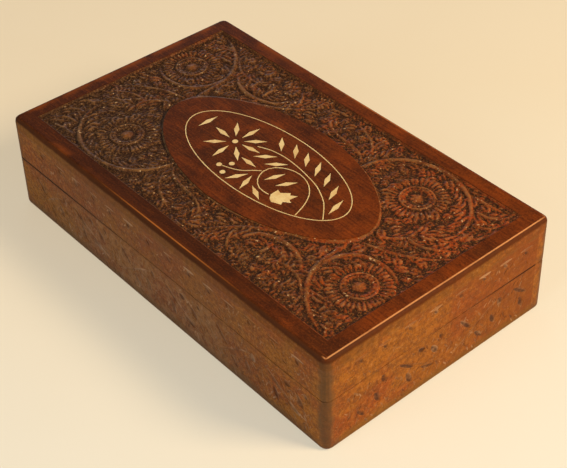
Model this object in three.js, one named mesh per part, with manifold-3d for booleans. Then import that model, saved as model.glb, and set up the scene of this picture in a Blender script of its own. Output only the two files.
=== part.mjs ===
// Carved wooden box with a hinged lid, a bone inlay in its top and two small brass butt hinges.
// Millimetres, +Z up. The origin is the centre of the underside, +X runs along the length and -Y is
// the front.
import * as THREE from "three";
import { mergeVertices } from "three/addons/utils/BufferGeometryUtils.js";
import Module from "manifold-3d";

const wasm = await Module();
wasm.setup();

// The closed box outside, its boards, and the radii that its edges are rounded to.
const box = { length: 250, width: 147, height: 58, wall: 8, floor: 4 };
const lid = { depth: 26, topThickness: 6.5 };
const edgeRadius = { corner: 4, top: 2.5, bottom: 2 };
const partingGap = 0.4;

// The carved field sunk in the top board, and the smooth oval left standing in it.
// The oval is a superellipse: an exponent of 2 is a true ellipse, and less draws its ends to a point.
const field = { border: 10, depth: 2 };
const oval = { length: 148, width: 77, exponent: 1.87 };

// Carving in low relief on the field: sunflower rosettes, scroll stems, and finer sprigs between them.
// Leaves stand down both sides of each stem and lean towards its tip.
const rosette = { radius: 15.5, petals: 16, petalWidth: 4.6, petalHeight: 1.4, petalOverlap: 2.5 };
const boss = { radius: 8, rimWidth: 1.6, rimHeight: 1.3, crownRadius: 3.5, crownHeight: 1.8 };
const scroll = { width: 3.2, height: 1.6, leafLength: 7, leafWidth: 3.2, leafHeight: 1.3, leafPitch: 12 };
const sprig = { width: 1.6, height: 1.4, leafLength: 5.5, leafWidth: 2.8, leafHeight: 1.2, leafPitch: 14 };
const leafLeanDegrees = 42;
const reliefRoot = 0.5; // how far a carved form runs down into the wood below the field

// Bone pieces let into the oval. Their margins run from the oval's edge to the middle of the ring,
// and the maker set the whole spray a little to the left.
const inlay = { depth: 1.2, clearance: 0.1, endMargin: 15.9, sideMargin: 13, shift: -0.85 };
const bone = {
  lineWidth: 0.5, leafWidth: 2.9, eyeRadius: 1.6, berryRadius: 1.5, lineEndGap: 0.4, branchGap: 1.2,
};

// Butt hinges sunk in the back edges. The pin lies inset from the back face, where the bevelled
// edges of lid and base meet at the full opening angle and stop the lid.
const hinge = {
  length: 24, fromEnd: 42, inset: 2.5, openingDegrees: 100,
  leafThickness: 0.8, leafReach: 5, knuckleRadius: 1.5, knuckles: 3,
  pinRadius: 0.7, boreClearance: 0.1, runningClearance: 0.3, fittingClearance: 0.2,
};
const screw = {
  headRadius: 1.25, headHeight: 0.7, shankRadius: 0.6, length: 7, clearance: 0.15,
  slotWidth: 0.4, slotDepth: 0.3, fromLeafEnd: 4.5, fromLeafEdge: 1.7,
};

// Places that follow from the sizes.
const halfLength = box.length / 2;
const halfWidth = box.width / 2;
const innerLength = halfLength - box.wall;
const innerWidth = halfWidth - box.wall;
const partingZ = box.height - lid.depth;
const baseTop = partingZ - partingGap / 2;
const lidBottom = partingZ + partingGap / 2;
const rimTop = box.height - lid.topThickness;
const fieldFloor = box.height - field.depth;
const fieldHalfLength = halfLength - field.border;
const fieldHalfWidth = halfWidth - field.border;
const ringHalfLength = oval.length / 2 - inlay.endMargin;
const ringHalfWidth = oval.width / 2 - inlay.sideMargin;
const hingeY = halfWidth - hinge.inset;
const past = 5; // how far a cutting solid runs past what it cuts

const steps = {
  corner: 4, edge: 3, oval: 64, ring: 72, stem: 22, leaf: 4, petal: 3, foliage: 2, round: 14, boss: 14,
};

const darkWood = new THREE.MeshStandardMaterial({ color: 0x5a2412, roughness: 0.45, metalness: 0 });
const sideWood = new THREE.MeshStandardMaterial({ color: 0x8a4a20, roughness: 0.6, metalness: 0 });
const plainWood = new THREE.MeshStandardMaterial({ color: 0x9a6a3c, roughness: 0.75, metalness: 0 });
const boneWhite = new THREE.MeshStandardMaterial({ color: 0xe6cd94, roughness: 0.4, metalness: 0 });
const brass = new THREE.MeshStandardMaterial({ color: 0xb08d45, roughness: 0.35, metalness: 1 });

const vector = (x, y) => new THREE.Vector2(x, y);
const radians = THREE.MathUtils.degToRad;

// A closed geometry as a solid that can be cut and joined.
function solidOf(geometry) {
  geometry.deleteAttribute("normal");
  geometry.deleteAttribute("uv");
  const merged = mergeVertices(geometry, 1e-4);
  return new wasm.Manifold(new wasm.Mesh({
    numProp: 3,
    vertProperties: merged.attributes.position.array,
    triVerts: new Uint32Array(merged.index.array),
  }));
}

function geometryOf(solid) {
  const { vertProperties, triVerts } = solid.getMesh();
  const geometry = new THREE.BufferGeometry();
  geometry.setAttribute("position", new THREE.BufferAttribute(vertProperties, 3));
  geometry.setIndex(new THREE.BufferAttribute(triVerts, 1));
  const flat = geometry.toNonIndexed();
  flat.computeVertexNormals();
  return flat;
}

// A box between two corners.
function block(low, high) {
  const size = high.map((value, axis) => value - low[axis]);
  const centre = high.map((value, axis) => (value + low[axis]) / 2);
  return solidOf(new THREE.BoxGeometry(...size).translate(...centre));
}

// An outline in the XY plane, with its holes, raised from one height to another.
function upright(outline, bottom, top, holes = []) {
  const shape = new THREE.Shape(outline);
  shape.holes = holes.map((hole) => new THREE.Path(hole));
  const geometry = new THREE.ExtrudeGeometry(shape, { depth: top - bottom, bevelEnabled: false });
  return solidOf(geometry.translate(0, 0, bottom));
}

// An outline in the YZ plane run along X.
function alongX(outline, left, right) {
  const geometry = new THREE.ExtrudeGeometry(new THREE.Shape(outline), {
    depth: right - left,
    bevelEnabled: false,
  });
  const turn = new THREE.Matrix4().makeBasis(
    new THREE.Vector3(0, 1, 0),
    new THREE.Vector3(0, 0, 1),
    new THREE.Vector3(1, 0, 0),
  );
  return solidOf(geometry.applyMatrix4(turn).translate(left, 0, 0));
}

// A round bar along the hinge line.
function barAlongX(radius, left, right) {
  const geometry = new THREE.CylinderGeometry(radius, radius, right - left, steps.round);
  return solidOf(geometry.rotateZ(-Math.PI / 2).translate((left + right) / 2, hingeY, partingZ));
}

// Points round a superellipse, counter-clockwise.
function superellipse(halfX, halfY, exponent, count) {
  const bend = (value) => Math.sign(value) * Math.abs(value) ** (2 / exponent);
  return Array.from({ length: count }, (_, i) => {
    const angle = (i / count) * 2 * Math.PI;
    return vector(halfX * bend(Math.cos(angle)), halfY * bend(Math.sin(angle)));
  });
}

const circle = (centre, radius, count) =>
  superellipse(radius, radius, 2, count).map((point) => point.add(centre));

// A counter-clockwise outline moved outward all round, mitred at its corners.
function grown(outline, distance) {
  const count = outline.length;
  return outline.map((point, i) => {
    const before = point.clone().sub(outline[(i + count - 1) % count]).normalize();
    const after = outline[(i + 1) % count].clone().sub(point).normalize();
    const normal = vector(after.y, -after.x);
    const mitre = vector(before.y, -before.x).add(normal).normalize();
    return point.clone().addScaledVector(mitre, distance / mitre.dot(normal));
  });
}

// How wide a leaf is along its length: round-sided in the carving, and nearly straight-sided in the
// bone, which is sawn.
const carvedSwell = (share) => Math.sin(Math.PI * share) ** 1.3;
const sawnSwell = (share) => (1 - Math.abs(1 - 2 * share)) ** 1.15;

// A leaf with two pointed ends, widest in the middle.
function leaf(root, tip, width, count, swell) {
  const along = tip.clone().sub(root);
  const across = vector(-along.y, along.x).normalize();
  const edgePoint = (share, side) => root.clone()
    .addScaledVector(along, share)
    .addScaledVector(across, side * (width / 2) * swell(share));
  const right = Array.from({ length: count }, (_, i) => edgePoint(i / count, -1));
  const left = Array.from({ length: count }, (_, i) => edgePoint(1 - i / count, 1));
  return [...right, ...left];
}

// A band of one width along a smooth curve, shortened at either end by a gap.
function band(route, width, count, startGap = 0, endGap = 0) {
  const curve = new THREE.SplineCurve(route);
  const length = curve.getLength();
  const from = startGap / length;
  const to = 1 - endGap / length;
  const offset = (i, side) => {
    const share = from + ((to - from) * i) / count;
    const tangent = curve.getTangentAt(share);
    return curve.getPointAt(share).add(vector(-tangent.y, tangent.x).multiplyScalar((side * width) / 2));
  };
  const order = Array.from({ length: count + 1 }, (_, i) => i);
  return [...order.map((i) => offset(i, -1)), ...order.reverse().map((i) => offset(i, 1))];
}

// The whole box outside, rounded at its corners and at both ends by one edge radius.
function roundedEnvelope(bottom, top, radius) {
  const corners = [[1, -1, -90], [1, 1, 0], [-1, 1, 90], [-1, -1, 180]];
  const outline = corners.flatMap(([sideX, sideY, startDegrees]) =>
    Array.from({ length: steps.corner + 1 }, (_, i) => {
      const angle = radians(startDegrees + (90 * i) / steps.corner);
      return vector(
        sideX * (halfLength - edgeRadius.corner) + edgeRadius.corner * Math.cos(angle),
        sideY * (halfWidth - edgeRadius.corner) + edgeRadius.corner * Math.sin(angle),
      );
    }));
  const geometry = new THREE.ExtrudeGeometry(new THREE.Shape(outline), {
    depth: top - bottom - 2 * radius,
    bevelThickness: radius,
    bevelSize: radius,
    bevelOffset: -radius,
    bevelSegments: steps.edge,
  });
  return solidOf(geometry.translate(0, 0, bottom + radius));
}

const baseEnvelope = roundedEnvelope(0, box.height + past, edgeRadius.bottom);
const lidEnvelope = roundedEnvelope(-past, box.height, edgeRadius.top);

// The back boards' section. Seen from the end, the rim's edge turns up (or down) the bevel behind the pin.
function backSection(farEdge, direction) {
  const half = radians(hinge.openingDegrees / 2);
  const gap = partingGap / 2;
  const bevelStart = -gap * Math.tan(half / 2);
  const bevelRise = (gap + hinge.inset * Math.sin(half)) / Math.cos(half);
  const outline = [
    vector(innerWidth, partingZ + direction * gap),
    vector(hingeY + bevelStart, partingZ + direction * gap),
    vector(halfWidth, partingZ + direction * bevelRise),
    vector(halfWidth, farEdge),
    vector(innerWidth, farEdge),
  ];
  return direction > 0 ? outline : outline.reverse();
}

const hingeCentres = [-1, 1].map((side) => side * (halfLength - hinge.fromEnd));
const screwOffsets = [-1, 1].map((side) => side * (hinge.length / 2 - screw.fromLeafEnd));
const screwY = hingeY - hinge.leafReach + screw.fromLeafEdge;

// A countersunk screw standing on its point, or the slightly larger hole for one. The head's face
// is at the given height and the shank runs the way of direction.
function screwSolid(x, faceZ, direction, allowance = 0) {
  const headEnd = screw.headHeight + allowance;
  const profile = [
    vector(0, -allowance),
    vector(screw.headRadius + allowance, -allowance),
    vector(screw.headRadius + allowance, allowance),
    vector(screw.shankRadius + allowance, headEnd),
    vector(screw.shankRadius + allowance, screw.length - screw.headRadius),
    vector(0, screw.length + allowance),
  ];
  const geometry = new THREE.LatheGeometry(profile, steps.round);
  geometry.rotateX(direction > 0 ? Math.PI / 2 : -Math.PI / 2);
  return solidOf(geometry.translate(x, screwY, faceZ));
}

function slottedScrew(x, faceZ, direction) {
  const halfSlot = screw.slotWidth / 2;
  const depth = direction * screw.slotDepth;
  const low = [x - halfSlot, screwY - screw.headRadius, Math.min(faceZ - depth, faceZ + depth)];
  const high = [x + halfSlot, screwY + screw.headRadius, Math.max(faceZ - depth, faceZ + depth)];
  return screwSolid(x, faceZ, direction).subtract(block(low, high));
}

// What a hinge needs cut from a back board: a bed for its leaf, room for its knuckles, and screw holes.
function hingeCuts(centre, direction) {
  const halfBed = hinge.length / 2 + hinge.fittingClearance;
  const face = partingZ + (direction * partingGap) / 2;
  const bedFloor = face + direction * hinge.leafThickness;
  const openSide = partingZ - direction * past;
  const bed = block(
    [centre - halfBed, hingeY - hinge.leafReach - hinge.fittingClearance, Math.min(bedFloor, openSide)],
    [centre + halfBed, hingeY, Math.max(bedFloor, openSide)],
  );
  const room = barAlongX(hinge.knuckleRadius + hinge.runningClearance, centre - halfBed, centre + halfBed);
  return screwOffsets.reduce(
    (cut, offset) => cut.add(screwSolid(centre + offset, face, direction, screw.clearance)),
    bed.add(room),
  );
}

// One leaf of a hinge: a plate on the rim, and its share of the knuckles round the pin.
function hingeLeaf(centre, direction, ownsKnuckle) {
  const left = centre - hinge.length / 2;
  const pitch = hinge.length / hinge.knuckles;
  const face = partingZ + (direction * partingGap) / 2;
  const back = face + direction * hinge.leafThickness;
  let plate = block(
    [left, hingeY - hinge.leafReach, Math.min(face, back)],
    [left + hinge.length, hingeY, Math.max(face, back)],
  );
  const gap = hinge.runningClearance;
  for (let i = 0; i < hinge.knuckles; i++) {
    const start = left + i * pitch;
    if (ownsKnuckle(i)) {
      const trimStart = i > 0 ? gap / 2 : 0;
      const trimEnd = i < hinge.knuckles - 1 ? gap / 2 : 0;
      plate = plate.add(barAlongX(hinge.knuckleRadius, start + trimStart, start + pitch - trimEnd));
    } else {
      const reach = gap / 2;
      plate = plate.subtract(barAlongX(hinge.knuckleRadius + gap, start - reach, start + pitch + reach));
    }
  }
  plate = plate.subtract(
    barAlongX(hinge.pinRadius + hinge.boreClearance, left - past, left + hinge.length + past),
  );
  return screwOffsets.reduce(
    (cut, offset) => cut.subtract(screwSolid(centre + offset, face, direction, screw.clearance)),
    plate,
  );
}

// The bone spray, drawn in shares of the ring's own half length and half width.
const onRing = (u, v) => vector(inlay.shift + u * ringHalfLength, v * ringHalfWidth);
const points = (list, place) => list.map(([u, v]) => place(u, v));

const spray = {
  eye: [-0.428, 0.004],
  petalDegrees: [89, 46, 10, -35, -84, -133, 178, 136],
  petalRoot: 0.18,
  petalTip: 0.662,
  berries: [[-0.194, -0.521], [-0.262, -0.722], [-0.158, -0.828]],
  leaves: {
    leaf_lone: [[[-0.838, -0.21], [-0.835, 0.295]]],
    leaf_outer: [
      [[-0.035, 0.471], [-0.19, 0.804]], [[0.125, 0.516], [-0.02, 0.864]], [[0.28, 0.485], [0.145, 0.845]],
      [[0.436, 0.413], [0.32, 0.831]], [[0.595, 0.327], [0.496, 0.72]], [[0.758, 0.118], [0.672, 0.563]],
      [[0.895, -0.176], [0.843, 0.327]],
    ],
    leaf_inner: [
      [[-0.011, -0.242], [-0.21, -0.242]], [[-0.148, -0.052], [0.003, 0.295]],
      [[0.003, -0.052], [0.154, 0.282]],
    ],
    leaf_curl: [[[0.174, -0.392], [0.239, 0.045]], [[0.302, -0.348], [0.402, 0.045]]],
    leaf_lower: [
      [[0.017, -0.491], [-0.074, -0.928]], [[0.057, -0.471], [0.125, -0.928]],
      [[0.165, -0.675], [0.356, -0.866]],
    ],
  },
  tulip: [
    [0.362, -0.39], [0.366, -0.589], [0.402, -0.688], [0.444, -0.736], [0.53, -0.649], [0.513, -0.573],
    [0.573, -0.471], [0.53, -0.438], [0.541, -0.245], [0.49, -0.334], [0.47, -0.282], [0.407, -0.426],
  ],
  mainStem: [
    [-0.232, 0.229], [-0.111, 0.343], [0.046, 0.399], [0.217, 0.38], [0.359, 0.334], [0.537, 0.245],
    [0.68, 0.098], [0.78, -0.05], [0.925, -0.38],
  ],
  spiralStem: [
    [0.352, -0.619], [0.28, -0.632], [0.217, -0.607], [0.142, -0.498], [0.094, -0.337], [0.075, -0.161],
    [0.1, 0], [0.15, 0.121], [0.245, 0.225], [0.355, 0.243], [0.478, 0.161], [0.588, -0.035],
    [0.665, -0.322], [0.721, -0.693],
  ],
  curlStem: [[0.078, -0.206], [0.012, -0.337], [-0.05, -0.498], [-0.13, -0.612], [-0.262, -0.722]],
};

// Each bone piece as a name, an outline and, on the ring, the outline of its opening.
function bonePieces() {
  const pieces = [];
  const numbered = (name, list) => (list.length > 1 ? (i) => `${name}_${i + 1}` : () => name);
  const addLeaf = (name, root, tip) =>
    pieces.push({ name, outline: leaf(root, tip, bone.leafWidth, steps.leaf, sawnSwell) });
  const eye = onRing(...spray.eye);

  spray.petalDegrees.forEach((degrees, i) => {
    const ray = vector(Math.cos(radians(degrees)), Math.sin(radians(degrees)));
    const root = eye.clone().addScaledVector(ray, spray.petalRoot * ringHalfWidth);
    const tip = eye.clone().addScaledVector(ray, spray.petalTip * ringHalfWidth);
    addLeaf(`petal_${i + 1}`, root, tip);
  });
  for (const [name, list] of Object.entries(spray.leaves)) {
    const nameAt = numbered(name, list);
    list.forEach(([root, tip], i) => addLeaf(nameAt(i), onRing(...root), onRing(...tip)));
  }
  pieces.push({ name: "flower_eye", outline: circle(eye, bone.eyeRadius, steps.round) });
  points(spray.berries, onRing).forEach((centre, i) => {
    pieces.push({ name: `berry_${i + 1}`, outline: circle(centre, bone.berryRadius, steps.round) });
  });
  pieces.push({ name: "tulip_bud", outline: points(spray.tulip, onRing) });

  const touch = bone.lineWidth / 2 + bone.lineEndGap;
  const addStem = (name, list, startGap, endGap) =>
    pieces.push({ name, outline: band(points(list, onRing), bone.lineWidth, steps.stem, startGap, endGap) });
  addStem("stem_main", spray.mainStem, 0, touch);
  addStem("stem_spiral", spray.spiralStem, 0, touch);
  addStem("stem_curl", spray.curlStem, bone.branchGap, bone.berryRadius + bone.lineEndGap);

  const ringLine = (offset) =>
    superellipse(ringHalfLength + offset, ringHalfWidth + offset, 2, steps.ring)
      .map((point) => point.add(onRing(0, 0)));
  pieces.push({
    name: "inlay_ring",
    outline: ringLine(bone.lineWidth / 2),
    opening: ringLine(-bone.lineWidth / 2),
  });
  return pieces;
}

const boneFloor = box.height - inlay.depth;
const openings = (piece, shrink) => (piece.opening ? [grown(piece.opening, -shrink)] : []);
const boneSolid = (piece) => upright(piece.outline, boneFloor, box.height, openings(piece, 0));
const bonePocket = (piece) => upright(
  grown(piece.outline, inlay.clearance), boneFloor, box.height + past, openings(piece, inlay.clearance),
);

// The carving, drawn in shares of the field's half length and half width. Turned half round, it
// fills the other half of the lid.
const onField = (u, v) => vector(u * fieldHalfLength, v * fieldHalfWidth);
const carving = {
  rosettes: [[0.612, 0.584], [0.852, -0.439]],
  scrolls: [
    [[0.29, 0.51], [0.34, 0.76], [0.5, 0.95], [0.61, 0.97], [0.73, 0.91], [0.87, 0.65], [0.88, 0.35]],
    [[0.63, 0.12], [0.64, -0.01], [0.58, -0.26], [0.4, -0.46], [0.25, -0.65], [0.12, -0.96]],
    [[0.63, -0.15], [0.64, -0.35], [0.65, -0.54], [0.74, -0.77], [0.95, -0.98]],
    [[0.66, -0.57], [0.65, -0.43], [0.67, -0.31], [0.72, -0.21], [0.8, -0.17], [0.97, -0.24]],
    [[0.3, -0.72], [0.38, -0.55], [0.47, -0.53], [0.56, -0.55], [0.63, -0.64], [0.7, -0.76]],
  ],
  sprigs: [
    [[0.28, 0.57], [0.12, 0.68], [-0.07, 0.79], [-0.11, 0.91]],
    [[0.26, 0.69], [0.21, 0.8], [0.12, 0.88], [0.02, 0.93]],
    [[0.66, -0.09], [0.76, -0.05], [0.85, 0.04], [0.94, 0.16], [0.98, 0.28]],
    [[0.68, 0.03], [0.75, 0.13], [0.79, 0.27]],
    [[0.77, 0.91], [0.94, 0.94]],
    [[0.84, 0.79], [0.97, 0.9]],
    [[0.89, 0.66], [0.98, 0.79]],
    [[0.9, 0.54], [0.96, 0.54]],
    [[0.76, 0.19], [0.84, 0.19], [0.92, 0.27], [0.98, 0.39]],
    [[0.8, 0.31], [0.94, 0.44]],
    [[0.5, -0.71], [0.58, -0.69], [0.65, -0.71], [0.72, -0.79], [0.8, -0.9]],
    [[0.57, -0.31], [0.64, -0.54]],
    [[0.24, -0.69], [0.27, -0.8], [0.33, -0.91]],
    [[0.42, -0.58], [0.43, -0.71]],
    [[0.5, -0.57], [0.52, -0.79]],
  ],
};

function rosetteSolid(centre) {
  const bottom = fieldFloor - reliefRoot;
  const profile = [
    vector(0, bottom),
    vector(boss.radius, bottom),
    vector(boss.radius, fieldFloor + boss.rimHeight),
    vector(boss.radius - boss.rimWidth, fieldFloor + boss.rimHeight),
    vector(boss.crownRadius, fieldFloor + boss.crownHeight),
    vector(0, fieldFloor + boss.crownHeight),
  ];
  const lathe = new THREE.LatheGeometry(profile, steps.boss).rotateX(Math.PI / 2);
  const dome = solidOf(lathe.translate(centre.x, centre.y, 0));
  const petals = Array.from({ length: rosette.petals }, (_, i) => {
    const angle = (i / rosette.petals) * 2 * Math.PI;
    const ray = vector(Math.cos(angle), Math.sin(angle));
    const root = centre.clone().addScaledVector(ray, boss.radius - rosette.petalOverlap);
    const tip = centre.clone().addScaledVector(ray, rosette.radius);
    const outline = leaf(root, tip, rosette.petalWidth, steps.petal, carvedSwell);
    return upright(outline, bottom, fieldFloor + rosette.petalHeight);
  });
  return petals.reduce((sum, petal) => sum.add(petal), dome);
}

// A stem along a smooth curve, with pairs of leaves down its sides.
function leafyStem(list, kind) {
  const route = points(list, onField);
  const curve = new THREE.SplineCurve(route);
  const bottom = fieldFloor - reliefRoot;
  const pairs = Math.max(1, Math.round(curve.getLength() / kind.leafPitch));
  const stem = upright(band(route, kind.width, pairs * 2), bottom, fieldFloor + kind.height);
  const leaves = Array.from({ length: pairs * 2 }, (_, i) => {
    const share = (Math.floor(i / 2) + 0.5) / pairs;
    const lean = (i % 2 ? 1 : -1) * radians(leafLeanDegrees);
    const root = curve.getPointAt(share);
    const ray = curve.getTangentAt(share).rotateAround(vector(0, 0), lean);
    const tip = root.clone().addScaledVector(ray, kind.leafLength);
    const outline = leaf(root, tip, kind.leafWidth, steps.foliage, carvedSwell);
    return upright(outline, bottom, fieldFloor + kind.leafHeight);
  });
  return leaves.reduce((sum, form) => sum.add(form), stem);
}

function carvedRelief() {
  const half = carving.rosettes
    .map(([u, v]) => rosetteSolid(onField(u, v)))
    .concat(carving.scrolls.map((list) => leafyStem(list, scroll)))
    .concat(carving.sprigs.map((list) => leafyStem(list, sprig)))
    .reduce((sum, form) => sum.add(form));
  return half.add(half.rotate([0, 0, 180]));
}

function topBoard(pieces) {
  const board = lidEnvelope.intersect(
    block([-halfLength, -halfWidth, rimTop], [halfLength, halfWidth, box.height]),
  );
  const standing = upright(
    superellipse(oval.length / 2, oval.width / 2, oval.exponent, steps.oval),
    fieldFloor - past,
    box.height + past,
  );
  const sunk = block(
    [-fieldHalfLength, -fieldHalfWidth, fieldFloor],
    [fieldHalfLength, fieldHalfWidth, box.height + past],
  ).subtract(standing);
  const carved = board.subtract(sunk).add(carvedRelief());
  return pieces.reduce((wood, piece) => wood.subtract(bonePocket(piece)), carved);
}

const group = new THREE.Group();

function addMesh(name, solid, material) {
  const mesh = new THREE.Mesh(geometryOf(solid), material);
  mesh.name = name;
  group.add(mesh);
}

// Four boards butted round a rim: front and back run the whole length and hold the ends between them.
function addRim(part, envelope, bottom, top, direction) {
  const farEdge = direction > 0 ? top : bottom;
  const front = block([-halfLength, -halfWidth, bottom], [halfLength, -innerWidth, top]);
  const back = alongX(backSection(farEdge, direction), -halfLength, halfLength);
  const end = (side) => block(
    [Math.min(side * innerLength, side * halfLength), -innerWidth, bottom],
    [Math.max(side * innerLength, side * halfLength), innerWidth, top],
  );
  const fittedBack = hingeCentres.reduce((wood, centre) => wood.subtract(hingeCuts(centre, direction)), back);
  addMesh(`${part}_front_board`, envelope.intersect(front), sideWood);
  addMesh(`${part}_back_board`, envelope.intersect(fittedBack), sideWood);
  addMesh(`${part}_left_board`, envelope.intersect(end(-1)), sideWood);
  addMesh(`${part}_right_board`, envelope.intersect(end(1)), sideWood);
}

addRim("base", baseEnvelope, 0, baseTop, -1);
addMesh(
  "base_floor_board",
  block([-innerLength, -innerWidth, 0], [innerLength, innerWidth, box.floor]),
  plainWood,
);
addRim("lid", lidEnvelope, lidBottom, rimTop, 1);

const pieces = bonePieces();
addMesh("lid_top_board", topBoard(pieces), darkWood);
pieces.forEach((piece) => addMesh(piece.name, boneSolid(piece), boneWhite));

// Both hinges, with the base's leaf holding the outer knuckles and the lid's leaf the ones between.
["left", "right"].forEach((side, i) => {
  const centre = hingeCentres[i];
  const leaves = [
    { part: "base", direction: -1, ownsKnuckle: (k) => k % 2 === 0 },
    { part: "lid", direction: 1, ownsKnuckle: (k) => k % 2 === 1 },
  ];
  for (const { part, direction, ownsKnuckle } of leaves) {
    addMesh(`${side}_hinge_${part}_leaf`, hingeLeaf(centre, direction, ownsKnuckle), brass);
    const face = partingZ + (direction * partingGap) / 2;
    screwOffsets.forEach((offset, k) => {
      addMesh(`${side}_hinge_${part}_screw_${k + 1}`, slottedScrew(centre + offset, face, direction), brass);
    });
  }
  const halfPin = hinge.length / 2;
  addMesh(`${side}_hinge_pin`, barAlongX(hinge.pinRadius, centre - halfPin, centre + halfPin), brass);
});

export default group;
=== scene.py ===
import math

import bmesh
import bpy
from mathutils import Matrix, Vector


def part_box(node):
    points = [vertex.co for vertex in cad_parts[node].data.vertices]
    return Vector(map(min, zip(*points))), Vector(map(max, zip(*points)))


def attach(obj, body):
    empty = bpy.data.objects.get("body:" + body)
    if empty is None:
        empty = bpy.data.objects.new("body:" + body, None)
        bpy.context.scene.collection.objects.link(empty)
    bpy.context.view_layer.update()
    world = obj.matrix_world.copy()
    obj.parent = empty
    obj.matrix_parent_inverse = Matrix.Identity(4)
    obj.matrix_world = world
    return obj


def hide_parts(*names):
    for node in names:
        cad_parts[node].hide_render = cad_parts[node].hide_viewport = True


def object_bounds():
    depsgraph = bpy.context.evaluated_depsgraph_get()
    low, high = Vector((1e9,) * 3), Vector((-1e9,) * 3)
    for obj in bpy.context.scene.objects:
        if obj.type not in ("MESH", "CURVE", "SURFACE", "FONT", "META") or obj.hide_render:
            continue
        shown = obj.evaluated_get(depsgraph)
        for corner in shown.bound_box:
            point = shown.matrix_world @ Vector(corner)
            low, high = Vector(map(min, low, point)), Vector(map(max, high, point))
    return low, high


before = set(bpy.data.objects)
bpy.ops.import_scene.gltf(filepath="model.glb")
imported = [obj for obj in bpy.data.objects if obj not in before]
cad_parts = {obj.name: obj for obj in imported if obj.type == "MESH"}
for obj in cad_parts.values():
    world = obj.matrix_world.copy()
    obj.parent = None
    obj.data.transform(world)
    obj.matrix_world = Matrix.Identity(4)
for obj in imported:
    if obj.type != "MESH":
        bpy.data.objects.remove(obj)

cad_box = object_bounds()
mm = 0.001

# Rim boards of the base and the lid
# Four boards frame the base and four more the lid: the front and back ones run the whole length and
# hold the end ones between them. They are an orange-brown hardwood, waxed and worn, and their faces
# are cut with small gouges: a winding stem with leaves on the base, a row of lunettes on the lid.


def add(tree, kind, sockets=None, **settings):
    """One node, with its settings made and its input sockets set or linked."""
    node = tree.nodes.new(kind)
    for name, value in settings.items():
        setattr(node, name, value)
    for key, value in (sockets or {}).items():
        if isinstance(value, bpy.types.NodeSocket):
            tree.links.new(value, node.inputs[key])
        else:
            node.inputs[key].default_value = value
    return node


def colour(red, green, blue):
    """An sRGB colour of 0 to 255 as the linear colour that a shader takes."""
    def linear(value):
        share = value / 255
        return share / 12.92 if share <= 0.04045 else ((share + 0.055) / 1.055) ** 2.4
    return (linear(red), linear(green), linear(blue), 1)


def tree_of(*values):
    """The tree of the sockets among these values."""
    return next(value.id_data for value in values if isinstance(value, bpy.types.NodeSocket))


def calc(operation, *values):
    return add(tree_of(*values), "ShaderNodeMath", dict(enumerate(values)), operation=operation).outputs[0]


def calc_of(operation):
    """One kind of sum, as a function of its values."""
    return lambda *values: calc(operation, *values)


times, plus, minus = calc_of("MULTIPLY"), calc_of("ADD"), calc_of("SUBTRACT")
larger, smaller, unsigned = calc_of("MAXIMUM"), calc_of("MINIMUM"), calc_of("ABSOLUTE")


def axes(vector):
    return add(vector.id_data, "ShaderNodeSeparateXYZ", {"Vector": vector}).outputs


def vector_of(x=0.0, y=0.0, z=0.0):
    return add(tree_of(x, y, z), "ShaderNodeCombineXYZ", {"X": x, "Y": y, "Z": z}).outputs[0]


def remap(value, low, high, to_low=0.0, to_high=1.0):
    """A value brought from one range to another, and held inside it."""
    return add(value.id_data, "ShaderNodeMapRange", {
        "Value": value, "From Min": low, "From Max": high, "To Min": to_low, "To Max": to_high,
    }).outputs["Result"]


def noise(vector, scale, detail=4.0, roughness=0.55, distortion=0.0):
    return add(vector.id_data, "ShaderNodeTexNoise", {
        "Vector": vector, "Scale": scale, "Detail": detail, "Roughness": roughness,
        "Distortion": distortion}).outputs["Fac"]


def blend(factor, first, second):
    """One colour turning into another."""
    sockets = {0: factor, 6: first, 7: second}
    return add(factor.id_data, "ShaderNodeMix", sockets, data_type="RGBA").outputs[2]


def stained(shade, stain, *marks):
    """A shade turned to an sRGB stain where some marks are, given as remap takes them."""
    return blend(remap(*marks), shade, colour(*stain))


def new_material(name, roughness=0.5, specular=0.5):
    """A material, its shader and the place on the object."""
    material = bpy.data.materials.new(name)
    material.use_nodes = True
    shader = material.node_tree.nodes["Principled BSDF"]
    shader.inputs["Roughness"].default_value = roughness
    shader.inputs["Specular IOR Level"].default_value = specular
    return material, shader, add(material.node_tree, "ShaderNodeTexCoord").outputs["Object"]


def paint(shader, shade, height, strength, distance):
    """Gives a shader its colour and the fine unevenness of its surface."""
    tree = shader.id_data
    tree.links.new(shade, shader.inputs["Base Color"])
    bump = add(tree, "ShaderNodeBump", {"Height": height, "Strength": strength, "Distance": distance})
    tree.links.new(bump.outputs["Normal"], shader.inputs["Normal"])


def drawn_out(place, scale):
    """The place on the object with its axes stretched, for marks that run along one of them."""
    return add(place.id_data, "ShaderNodeMapping", {"Vector": place, "Scale": scale}).outputs["Vector"]


def grain(place, axis, distortion=0.4):
    """Fine fibres, and the broader figure, running along one axis."""
    along = [1, 1, 1]
    along[axis] = 0.07
    drawn = drawn_out(place, along)
    return noise(drawn, 900, 3), noise(drawn, 160, 4, distortion=distortion)


def hardwood_colour(place, axis):
    """Orange-brown hardwood, mottled by years of wax, with light and dark specks."""
    fibre, figure = grain(place, axis)
    patches = noise(place, 42, 4, 0.65)
    shade = stained(colour(154, 90, 21), (147, 71, 18), patches, 0.42, 0.58)
    shade = stained(shade, (108, 60, 20), figure, 0.42, 0.7, 0, 0.3)
    mottle = noise(place, 420, 5, 0.75)
    shade = stained(shade, (104, 56, 20), mottle, 0.48, 0.62, 0, 0.7)
    shade = stained(shade, (186, 114, 42), mottle, 0.48, 0.36, 0, 0.5)
    shade = stained(shade, (80, 44, 20), fibre, 0.5, 0.72, 0, 0.3)
    light_specks = remap(noise(place, 900, 4, 0.75), 0.57, 0.68, 0, 0.5)
    return blend(light_specks, shade, colour(192, 146, 96)), fibre


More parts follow.
